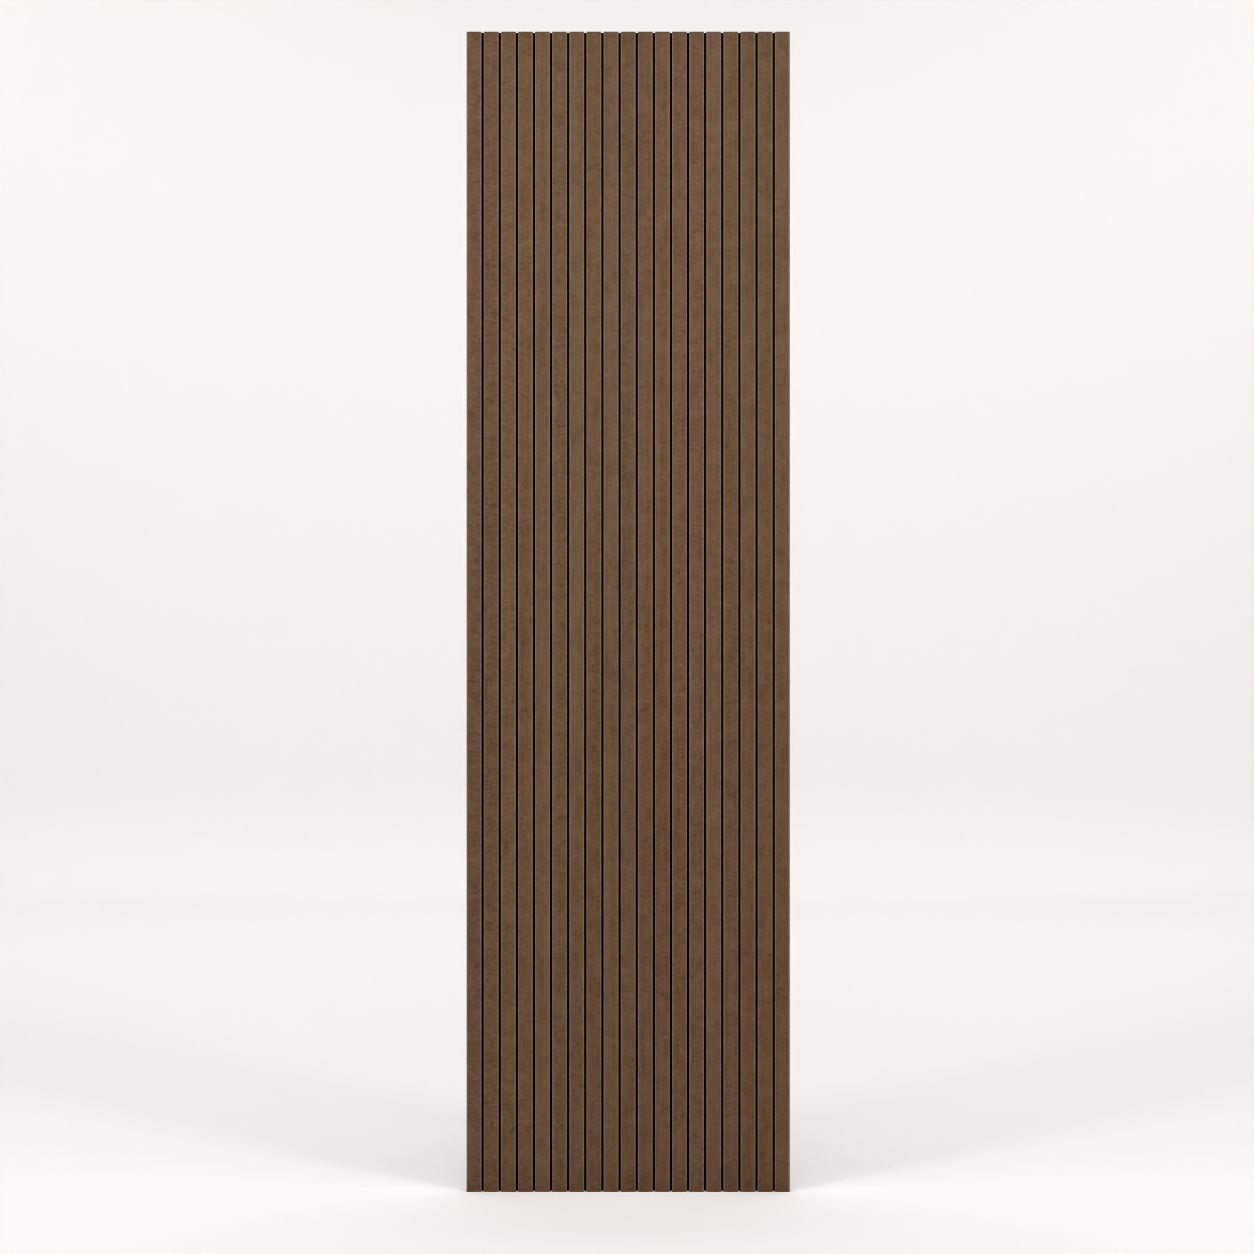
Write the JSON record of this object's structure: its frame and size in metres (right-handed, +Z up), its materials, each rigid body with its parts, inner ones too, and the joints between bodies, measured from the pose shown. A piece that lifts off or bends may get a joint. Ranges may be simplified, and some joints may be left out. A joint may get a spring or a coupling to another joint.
{
  "type": "acoustic slat wall panel",
  "caption": "Tall wall panel of veneered wooden slats, set side by side with narrow grooves on a dark felt backing that takes up sound.",
  "frame": {"origin": "middle of the lower edge of the back face, where the panel meets the wall", "axes": "+X to the right as seen from the room, +Y out of the back towards the wall, +Z up along the slats"},
  "size_m": [0.604, 0.021, 2.168],
  "materials": {
    "veneer": "matte walnut veneer",
    "fibreboard": "sawn fibreboard",
    "felt": "pressed polyester felt",
    "staple": "zinc-coated wire"
  },
  "bodies": {
    "root": {"felt_backing": "felt", "staples": "staple", "slat_core_01": "fibreboard", "slat_veneer_01": "veneer", "slat_core_02": "fibreboard", "slat_veneer_02": "veneer", "slat_core_03": "fibreboard", "slat_veneer_03": "veneer", "slat_core_04": "fibreboard", "slat_veneer_04": "veneer", "slat_core_05": "fibreboard", "slat_veneer_05": "veneer", "slat_core_06": "fibreboard", "slat_veneer_06": "veneer", "slat_core_07": "fibreboard", "slat_veneer_07": "veneer", "slat_core_08": "fibreboard", "slat_veneer_08": "veneer", "slat_core_09": "fibreboard", "slat_veneer_09": "veneer", "slat_core_10": "fibreboard", "slat_veneer_10": "veneer", "slat_core_11": "fibreboard", "slat_veneer_11": "veneer", "slat_core_12": "fibreboard", "slat_veneer_12": "veneer", "slat_core_13": "fibreboard", "slat_veneer_13": "veneer", "slat_core_14": "fibreboard", "slat_veneer_14": "veneer", "slat_core_15": "fibreboard", "slat_veneer_15": "veneer", "slat_core_16": "fibreboard", "slat_veneer_16": "veneer", "slat_core_17": "fibreboard", "slat_veneer_17": "veneer", "slat_core_18": "fibreboard", "slat_veneer_18": "veneer", "slat_core_19": "fibreboard", "slat_veneer_19": "veneer"}
  },
  "joints": []
}
